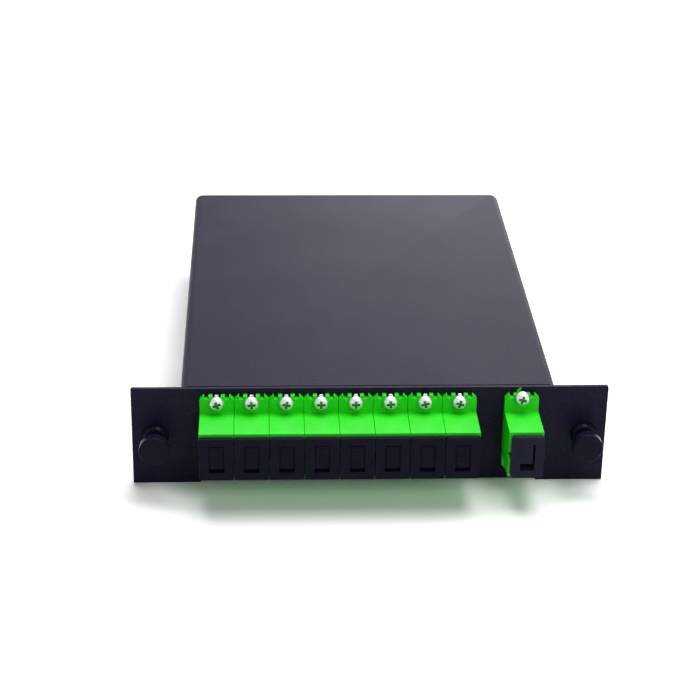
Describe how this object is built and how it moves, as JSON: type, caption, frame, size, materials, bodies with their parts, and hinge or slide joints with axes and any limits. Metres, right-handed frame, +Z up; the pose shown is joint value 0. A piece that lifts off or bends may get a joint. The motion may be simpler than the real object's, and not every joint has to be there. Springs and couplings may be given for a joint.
{
  "type": "fibre splitter cassette",
  "caption": "Flat black steel cassette with a wide front panel, a row of green square fibre ports with dust caps, one port set apart, and a push latch at each end.",
  "frame": {"origin": "on the underside, below the middle of the front panel's width, halfway along the case", "axes": "+X to the right seen from the front, +Y from the front panel to the back, +Z up"},
  "size_m": [0.13, 0.1621, 0.029],
  "materials": {
    "powder_coat": "fine orange-peel powder coat",
    "green_housing": "moulded, satin",
    "cap_plastic": "moulded, satin",
    "latch_nylon": "moulded, glossy",
    "screw_zinc": "bright zinc",
    "inner_housing": "moulded",
    "holder_plastic": "moulded",
    "zirconia": "polished",
    "module_steel": "drawn tube",
    "module_rubber": "soft",
    "foam_tape": "foam",
    "clip_plastic": "moulded",
    "boot_rubber": "soft",
    "fibre_blue": "tight buffer, smooth",
    "fibre_orange": "tight buffer, smooth",
    "fibre_green": "tight buffer, smooth",
    "fibre_brown": "tight buffer, smooth",
    "fibre_slate": "tight buffer, smooth",
    "fibre_white": "tight buffer, smooth",
    "fibre_red": "tight buffer, smooth",
    "fibre_black": "tight buffer, smooth",
    "fibre_yellow": "tight buffer, smooth"
  },
  "bodies": {
    "case": {"base_tray": "powder_coat", "top_cover": "powder_coat", "cover_screws": "screw_zinc", "adapter_screws": "screw_zinc", "sleeve_holders": "holder_plastic", "alignment_sleeves": "zirconia", "connector_ferrules": "zirconia", "connector_boots": "boot_rubber", "splitter_module": "module_steel", "module_end_plugs": "module_rubber", "module_pad": "foam_tape", "module_clips": "clip_plastic", "adapter_1": "green_housing", "connector_1": "inner_housing", "fibre_1": "fibre_blue", "adapter_2": "green_housing", "connector_2": "inner_housing", "fibre_2": "fibre_orange", "adapter_3": "green_housing", "connector_3": "inner_housing", "fibre_3": "fibre_green", "adapter_4": "green_housing", "connector_4": "inner_housing", "fibre_4": "fibre_brown", "adapter_5": "green_housing", "connector_5": "inner_housing", "fibre_5": "fibre_slate", "adapter_6": "green_housing", "connector_6": "inner_housing", "fibre_6": "fibre_white", "adapter_7": "green_housing", "connector_7": "inner_housing", "fibre_7": "fibre_red", "adapter_8": "green_housing", "connector_8": "inner_housing", "fibre_8": "fibre_black", "adapter_input": "green_housing", "connector_input": "inner_housing", "fibre_input": "fibre_yellow", "latch_grommet_left": "latch_nylon", "latch_grommet_right": "latch_nylon"},
    "cap_1": {"dust_cap_1": "cap_plastic"},
    "cap_2": {"dust_cap_2": "cap_plastic"},
    "cap_3": {"dust_cap_3": "cap_plastic"},
    "cap_4": {"dust_cap_4": "cap_plastic"},
    "cap_5": {"dust_cap_5": "cap_plastic"},
    "cap_6": {"dust_cap_6": "cap_plastic"},
    "cap_7": {"dust_cap_7": "cap_plastic"},
    "cap_8": {"dust_cap_8": "cap_plastic"},
    "cap_input": {"dust_cap_input": "cap_plastic"},
    "plunger_left": {"latch_plunger_left": "latch_nylon"},
    "plunger_right": {"latch_plunger_right": "latch_nylon"}
  },
  "joints": [
    {"name": "cap_1_pull", "type": "slide", "parent": "case", "child": "cap_1", "axis": [0, -1, 0], "range_m": [0, 0.03]},
    {"name": "cap_2_pull", "type": "slide", "parent": "case", "child": "cap_2", "axis": [0, -1, 0], "range_m": [0, 0.03]},
    {"name": "cap_3_pull", "type": "slide", "parent": "case", "child": "cap_3", "axis": [0, -1, 0], "range_m": [0, 0.03]},
    {"name": "cap_4_pull", "type": "slide", "parent": "case", "child": "cap_4", "axis": [0, -1, 0], "range_m": [0, 0.03]},
    {"name": "cap_5_pull", "type": "slide", "parent": "case", "child": "cap_5", "axis": [0, -1, 0], "range_m": [0, 0.03]},
    {"name": "cap_6_pull", "type": "slide", "parent": "case", "child": "cap_6", "axis": [0, -1, 0], "range_m": [0, 0.03]},
    {"name": "cap_7_pull", "type": "slide", "parent": "case", "child": "cap_7", "axis": [0, -1, 0], "range_m": [0, 0.03]},
    {"name": "cap_8_pull", "type": "slide", "parent": "case", "child": "cap_8", "axis": [0, -1, 0], "range_m": [0, 0.03]},
    {"name": "cap_input_pull", "type": "slide", "parent": "case", "child": "cap_input", "axis": [0, -1, 0], "range_m": [0, 0.03]},
    {"name": "latch_left_push", "type": "slide", "parent": "case", "child": "plunger_left", "axis": [0, 1, 0], "range_m": [0, 0.004]},
    {"name": "latch_right_push", "type": "slide", "parent": "case", "child": "plunger_right", "axis": [0, 1, 0], "range_m": [0, 0.004]}
  ]
}
